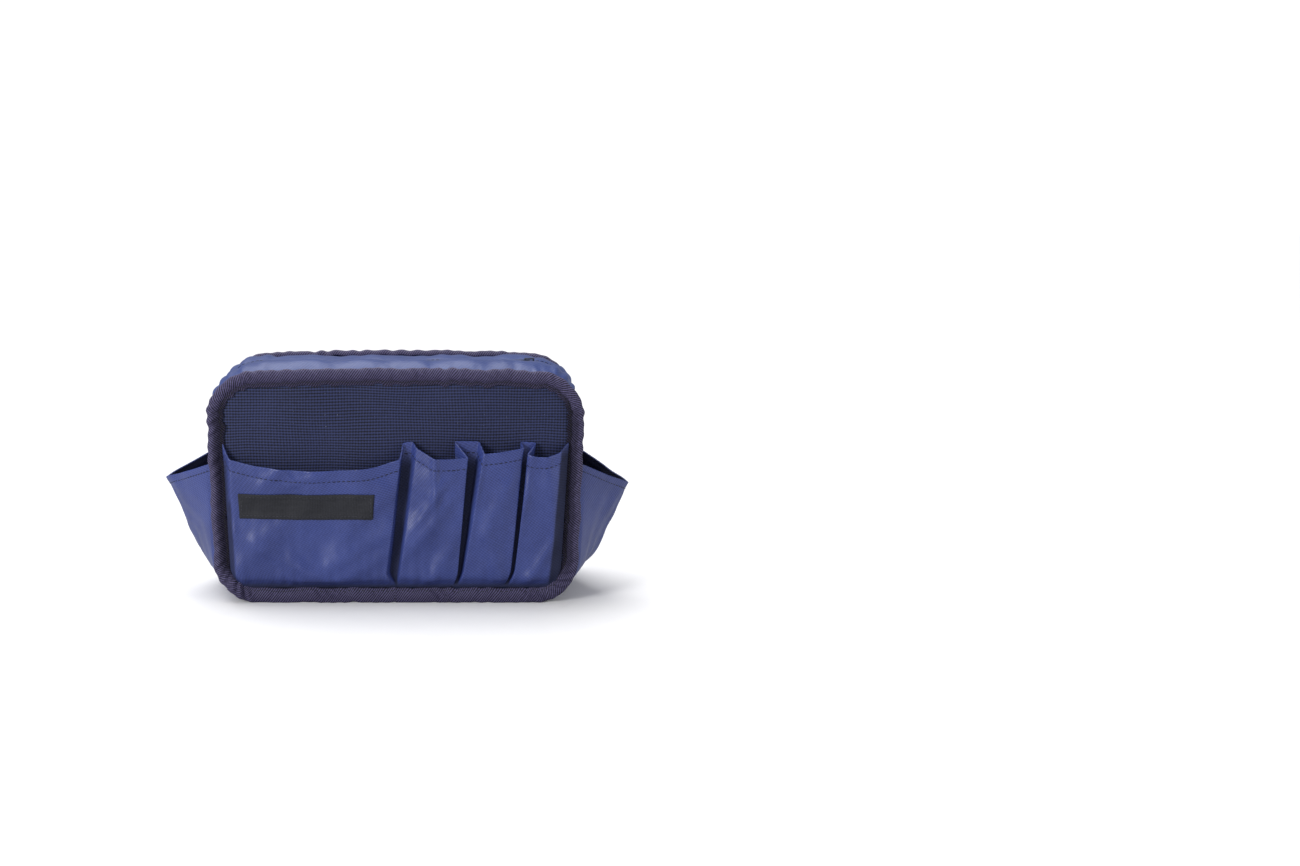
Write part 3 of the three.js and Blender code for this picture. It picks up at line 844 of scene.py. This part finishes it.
def front_strip():
    """The front pockets, one strip folded to and fro.

    Its line along the mouths and its line along the foot are mixed by the height, a power of which gives the
    pockets their belly. Its knots are joined by straight lines, rounded, and creases and ripples are laid on.
    Painted shade darkens its colour in the pleats and on the walls at its two ends.
    """
    top_x, stand, hem, foot_x, foot_stand, turn = STRIP.T * MM
    steps = np.hypot(np.diff(top_x), np.diff(stand)) + np.abs(np.diff(hem)) * 0.3
    along = rounding(steps, 420, turn)
    height = np.linspace(0, 1, 96)[:, None]
    lean = height**0.9
    belly = height**1.2
    knots_x = mix(foot_x, top_x, lean)
    knots_stand = mix(foot_stand * smooth(height * 12), stand, belly)
    x = knots_x @ along.T
    off = knots_stand @ along.T * mix(0.45, 1, smooth(height * 9))
    top = along @ hem
    x = x * mix(0.965, 1, smooth(height * 7))
    splay = bump(x, -6.5 * MM, 4.5 * MM) * (1 - smooth(height * 8))
    x = x + 6 * MM * splay
    z = mix(POCKET_FOOT + 0 * top, top, height)
    free = np.clip(off / (3 * MM), 0, 1)  # cloth held to the face doesn't ripple
    off = off + creases(x, z, FRONT_CREASES) * free
    off = off + 0.65 * MM * ripple(x, z, 27 * MM, 11, 9) * free * smooth(height * 5)
    off = off + 0.12 * MM * ripple(x, z, 9 * MM, 12, 9) * free
    below = z[-1:] - z
    sewn = bump(below, HEM, 1.0 * MM)
    off = off - 0.22 * MM * sewn + 0.12 * MM * sewn * np.sin(2 * math.pi * x / (1.45 * MM))
    off = off + 0.35 * MM * puckers(x, 7 * MM, 13, 8) * (1 - height) ** 5 * smooth(height * 25)
    points = np.stack([x, -(POCKET_SEAM_Y + np.maximum(off, 0.1 * MM)), z], axis=-1)
    thickness = CLOTH * (1 + 0.9 * smooth((HEM + 0.6 * MM - below) / (0.5 * MM)))
    # Painted shade: darker colour in the pleats between pockets and on the walls at the strip's ends.
    proud = knots_stand @ along.T / (mix(2.6, 5.5, height) * MM)
    painted_shade = 0.88 * (1 - smooth(proud)) * smooth((POCKET_PEAK - 3 * MM - z) / (12 * MM))
    last_wall = (x - mix(89 * MM, 95.2 * MM, lean)) / (1.5 * MM)
    first_wall = (mix(-93.2 * MM, -96.6 * MM, lean) - x) / (1.5 * MM)
    painted_shade = np.maximum(painted_shade, 0.75 * smooth(first_wall) * smooth((HEIGHT / 2 - z) / (12 * MM)))
    painted_shade = np.maximum(painted_shade, 0.9 * smooth(last_wall) * smooth((POCKET_PEAK + 4 * MM - z) / (12 * MM)))
    piece = sheet("front_pockets_cloth", points, thickness, nylon, painted_shade=painted_shade)
    settle(piece, "front_pocket_strip")
    hem_stitches("front_pockets_stitches", points, HEM, 4, 0.32 * MM)
    return points


def label(points):
    """A blank woven label sewn level on the wide pocket, with its ends turned under and stitched all round.

    Each of its points is a share of the way across the strip and the share of the pocket's height that is
    level with it.
    """
    wide, tall = (LABEL_HIGH.x - LABEL_LOW.x) / MM, 15
    x = points[45, :, 0]
    face = x < 0
    shares = np.linspace(0, 1, len(x))
    left, right = np.interp([LABEL_LOW.x, LABEL_HIGH.x], x[face], shares[face])
    u, v = np.meshgrid(np.linspace(0, 1, 90), np.linspace(0, 1, 20))
    across = mix(left, right, u)
    hem = np.interp(across, shares, points[-1, :, 2])
    level = (mix(LABEL_LOW.z, LABEL_HIGH.z, v) + LABEL_RISE - POCKET_FOOT) / (hem - POCKET_FOOT)
    under = sampled(points, across, level)
    normal = sampled(normals_of(points), across, level)
    near = np.minimum(np.minimum(u * wide, (1 - u) * wide), np.minimum(v * tall, (1 - v) * tall))
    turned = 0.25 * MM * (smooth(near / 0.8) - smooth((near - 2.4) / 0.8))
    lift = 0.55 * MM + turned - 0.12 * MM * bump(near, 1.6, 0.35)
    surface = under + normal * (lift + 0.06 * MM * ripple(u, v, 0.2, 31))[..., None]
    piece = sheet("label_cloth", surface, 0.35 * MM, damask)
    settle(piece, "woven_label")
    in_u, in_v = 1.7 / wide, 1.7 / tall
    corners = np.array([[in_u, in_v], [1 - in_u, in_v], [1 - in_u, 1 - in_v], [in_u, 1 - in_v], [in_u, in_v]])
    rows = []
    facing = normals_of(surface)
    for a, b in zip(corners[:-1], corners[1:]):
        way = np.linspace(a, b, 60)
        path_normal = sampled(facing, way[:, 0], way[:, 1])
        rows.append((sampled(surface, way[:, 0], way[:, 1]) + path_normal * 0.2 * MM, path_normal))
    settle(stitches("label_stitches", rows, label_thread, pitch=2.2 * MM, thick=0.2 * MM))


# --- Back pocket ---

BACK_CREASES = [
    # from x, z    to x, z   height width
    (56, 82, 62, 60, 1.6, 1.6),
    (44, 80, 36, 62, 1.6, 2.4),
    (33, 82, 22, 60, 1.4, 2.2),
    (14, 82, 20, 62, 1.5, 2.0),
    (20, 62, 2, 44, 1.2, 3.2),
    (-4, 82, -12, 62, 1.6, 2.0),
    (-14, 80, -18, 40, 2.0, 2.4),
    (-18, 44, -8, 16, 1.7, 3.0),
    (-30, 82, -28, 55, 1.1, 2.0),
    (-42, 82, -44, 60, 1.4, 1.6),
    (-44, 58, -60, 66, 1.7, 2.2),
    (-60, 66, -70, 78, 1.2, 2.2),
    (-46, 50, -52, 22, 1.5, 2.2),
    (-62, 60, -84, 48, 1.0, 2.6),
    (-84, 82, -90, 60, 1.1, 2.4),
    (-70, 26, -92, 40, 1.0, 3.4),
    (78, 80, 90, 66, 1.3, 2.4),
    (88, 56, 76, 22, 1.0, 3.4),
    (60, 26, 40, 18, 1.2, 2.8),
    (34, 24, 4, 16, 1.4, 2.6),
    (22, 34, -6, 22, 1.0, 3.2),
]


def fold_step(x, z, x0, z0, x1, z1, height):
    """A pleat's edge: a sudden rise of that height on the near side of a slanting line, fading at its top."""
    line = mix(x0, x1, np.clip((z0 * MM - z) / ((z0 - z1) * MM), 0, 1)) * MM
    side = 1 if x1 > x0 else -1
    fade = smooth((z0 * MM + 4 * MM - z) / (9 * MM))
    return height * MM * (0.5 - 0.5 * np.tanh(side * (x - line) / (0.5 * MM))) * fade


def back_pocket():
    """The gathered pocket: a belly drawn in at its mouth, with ruffles along the elastic.

    The ruffles are tight waves in the casing. Below it they give way to long folds that spread downwards.
    """
    width = np.linspace(-1, 1, 420)[None]
    height = np.linspace(0, 1, 100)[:, None]
    full = np.clip(1 - np.abs(width) ** 6, 0, 1)
    mouth = POCKET_PEAK - 5.5 * MM * full + 0.5 * MM * puckers(width, 0.09, 40)
    z = mix(POCKET_FOOT + 0 * mouth, mouth, height)
    half = mix(POCKET_HALF - 4.5 * MM, POCKET_HALF + 0.3 * MM, smooth((z - POCKET_FOOT) / (11 * MM)))
    x = width * half
    belly = np.sin(0.8 * math.pi * height**0.8)
    off = (POCKET_DEPTH - 5 * MM) * belly * np.clip(1 - np.abs(width) ** 3, 0, 1) + 0.8 * MM * full
    below = mouth - z
    casing = smooth((HEM + 1.5 * MM - below) / (1.5 * MM))
    beat = x + 0.5 * MM * puckers(width, 0.14, 44) + 0.25 * MM * puckers(x, 9 * MM, 45)
    ruffle = np.sin(2 * math.pi * beat / (5.4 * MM)) + 0.45 * np.sin(2 * math.pi * beat / (3.3 * MM) + 1.3)
    near_casing = np.exp(-np.maximum(below - HEM, 0) / (5.5 * MM))
    spread = x * (1 - 0.16 * (1 - height))
    folds = puckers(spread, 12 * MM, 41, 9)
    broad = ripple(spread, z * 0.4, 30 * MM, 42, 9, math.pi / 2, 0.8)
    upper = np.exp(-np.maximum(below - HEM, 0) / (24 * MM)) * (1 - casing)
    pinch = bump(below, HEM, 1.1 * MM)
    edge = np.clip((1 - np.abs(width)) * 14, 0, 1)
    off = off + edge * (1.0 * MM * ruffle * near_casing * (1 - 0.5 * pinch) * (0.75 + 0.5 * casing))
    off = off + edge * (1.1 * MM * folds * upper + 0.9 * MM * broad * smooth(height * 4) * (1 - casing))
    off = off + 1.3 * edge * creases(x, z, BACK_CREASES) * (1 - casing)
    off = off + edge * 0.22 * MM * ripple(x, z, 8 * MM, 43, 9) * smooth(height * 6)
    off = off - 0.5 * MM * pinch
    pleats = fold_step(x, z, 57, 84, 71, 9, 1.9) + fold_step(x, z, -53, 50, -63, 9, 1.7)
    off = off + pleats * edge - 1.9 * MM
    off = off * smooth(height * 14 + 0.15)
    points = np.stack([x, POCKET_SEAM_Y + np.maximum(off, 0.15 * MM), z], axis=-1)
    ruffled_z = 0.5 * MM * casing * np.sin(2 * math.pi * beat / (5.4 * MM) + 0.8) * edge
    points[..., 2] += ruffled_z * smooth((height - 0.9) / 0.1)
    thickness = CLOTH * (1 + 1.1 * casing)
    piece = sheet("back_pocket_cloth", points, thickness, nylon, flip=True)
    settle(piece, "back_pocket")
    hem_stitches("back_pocket_stitches", points, HEM, 5, 0.35 * MM, -1)
    tape = points[[89, 91, 93, 95]][:, 30:-30:2] - np.array([0, 1.3 * MM, 0])
    elastic = sheet("back_pocket_elastic_tape", tape, 0.6 * MM, elastic_cloth, flip=True)
    settle(elastic, "back_pocket_elastic")


# --- Side pockets ---


def side_pocket(name, node, side, seed, droop):
    """A pocket sewn into the two side seams and flared to a soft crease between them.

    Across, it is a triangle with a rounded tip. Its reach grows evenly with height, after a quick start at
    the foot, and its mouth hangs lower towards the tip, by droop more on a slacker pocket. Its foot and sides
    sink into the gusset, which they are sewn to.
    """
    across = np.linspace(-1, 1, 130)[None]
    height = np.linspace(0, 1, 84)[:, None]
    crease = np.clip(1 - np.sqrt(across**2 + 0.02**2), 0, 1)
    rim = mix(SIDE_RIM_Z, SIDE_TIP_Z - droop, crease**0.85)
    z = mix(SIDE_FOOT_Z - 4 * MM, rim, height)
    below_corner = np.clip((FOOT_RADIUS - z) / FOOT_RADIUS, 0, 1)
    body = HALF_WIDTH - FOOT_RADIUS * (1 - np.sqrt(np.clip(1 - below_corner**2, 0, 1))) - GUSSET_INSET
    reach = SIDE_TIP_X - HALF_WIDTH + GUSSET_INSET - 1 * MM
    off = reach * (0.18 * smooth(height * 6) + 0.82 * height) * crease**0.88
    y = across * (GUSSET_Y + 0.5 * MM)
    off = off + 0.9 * MM * ripple(y, z, 30 * MM, seed, 8) * crease * smooth(height * 4)
    off = off + 0.35 * MM * ripple(y, z, 11 * MM, seed + 1, 9) * crease
    off = off + 0.5 * MM * puckers(y, 7 * MM, seed + 2) * (1 - height) ** 4 * crease
    below = rim - z
    off = off - 0.2 * MM * bump(below, SIDE_HEM, 0.9 * MM)
    above_foot = smooth(height * 14)
    clear = 1.1 * MM * above_foot * smooth(crease * 12) - 1.6 * MM * (1 - above_foot)
    x = side * (body + clear + off)
    points = np.stack([x, y + 0 * x, z], axis=-1)
    thickness = CLOTH * (1 + 0.9 * smooth((SIDE_HEM + 0.5 * MM - below) / (0.5 * MM)))
    # Painted shade: the pocket's inner face is darkened in colour everywhere below the very rim.
    piece = sheet(name, points, thickness, nylon, flip=side < 0, inside=smooth(below / (0.8 * MM)))
    settle(piece, node)
    hem_stitches(f"{name}_stitches", points, SIDE_HEM, 3, 0.3 * MM, side)


# --- Making the object ---

binding("front_binding_tape", "front_binding", -1, 100)
binding("back_binding_tape", "back_binding", 1, 200)
mesh_panel("front_net", "front_mesh_panel", -1, NET_CELL, 301)
mesh_panel("back_net", "back_mesh_panel", 1, 1.5 * MM, 305)
lower_gusset()
lip_rows = []
for end, side, seed in (("front", -1, 400), ("rear", 1, 500)):
    lip_rows.append(lip(f"zip_lip_{end}_cloth", f"zip_lip_{end}", side, seed))
    zip_tape(f"zip_tape_{end}_woven", f"zip_tape_{end}", side)
    zip_coil(f"zip_coil_{end}_wound", f"zip_coil_{end}", side)
lip_rows = [(path + normal * 0.25 * MM, normal) for path, normal in lip_rows]
settle(stitches("zip_lip_stitches", lip_rows, navy_thread))
for node, body, edge in (
    ("zip_slider", "slider", 0.22 * MM),
    ("zip_pull", "pull", 0.2 * MM),
    ("zip_stop_left", "bag", 0.4 * MM),
    ("zip_stop_right", "bag", 0.4 * MM),
):
    softened(node, f"{node}_cast", body, edge)
label(front_strip())
back_pocket()
side_pocket("side_pocket_left_cloth", "side_pocket_left", -1, 600, 0 * MM)
side_pocket("side_pocket_right_cloth", "side_pocket_right", 1, 700, 3.5 * MM)

# --- Floor, light and camera ---


def floor():
    """A wide pale sheet of paper, level with the base. It throws back half its light, as if flagged."""
    material, tree, shader = new_material("paper_sweep_white")
    paper = ramped(tree, noise(tree, 60.0, 3.0), 0, 1, linear("f6f6f8"), linear("fbfbfc"))
    seen = add(tree, "ShaderNodeLightPath").outputs["Is Camera Ray"]
    colour = scaled(tree, paper, ranged(tree, seen, 0.5, 1.0))
    wire(tree, shader, {"Base Color": colour, "Roughness": 0.9, "Specular IOR Level": 0.1})
    half = 6.0
    corners = np.array([[-half, -half, 0], [half, -half, 0], [half, half, 0], [-half, half, 0]])
    mesh_object("floor", corners, [[0, 1, 2, 3]], material)


def studio():
    """A bright white room: even light from all round, a soft lamp overhead and a softbox on either side.

    The room itself is shown to the camera as pure white. The overhead lamp lights the whole floor alike, and
    the weaker softbox, on the right, fills the shadow that it throws.
    """
    world = bpy.data.worlds.new("white_room")
    world.use_nodes = True
    tree = world.node_tree
    seen = add(tree, "ShaderNodeLightPath").outputs["Is Camera Ray"]
    strength = ranged(tree, seen, 0.32, 1.1)
    wire(tree, tree.nodes["Background"], {"Strength": strength, "Color": linear("ffffff")})
    bpy.context.scene.world = world
    hang("overhead", "SUN", (-0.25, 0.38, 1.1), energy=2.7, angle=math.radians(55))
    hang("softbox", "AREA", (-0.95, -0.95, 0.6), energy=12, shape="RECTANGLE", size=0.45, size_y=0.6)
    hang("fill", "AREA", (0.95, -0.4, 0.45), energy=2.8, size=0.7)


def hang(name, kind, place, **settings):
    """A light at a place, turned to the middle of the bag."""
    data = bpy.data.lights.new(name, kind)
    for key, value in settings.items():
        setattr(data, key, value)
    lamp = bpy.data.objects.new(name, data)
    lamp.location = place
    lamp.rotation_euler = (Vector((0, 0, HEIGHT / 2)) - Vector(place)).to_track_quat("-Z", "Y").to_euler()
    bpy.context.scene.collection.objects.link(lamp)


def camera():
    """The view, square on to the front and looking down on it. The shift puts the bag left of the middle."""
    data = bpy.data.cameras.new("camera")
    data.sensor_width = 36
    data.lens = 38.7415
    data.shift_x = 0.168
    view = bpy.data.objects.new("camera", data)
    view.location = (21 * MM, -FACE_Y - 800 * MM, HEIGHT + 106.5 * MM)
    view.rotation_euler = (math.radians(90 - 10.2), 0, 0)
    bpy.context.scene.collection.objects.link(view)
    bpy.context.scene.camera = view


floor()
studio()
camera()
bpy.context.scene.view_settings.view_transform = "Standard"
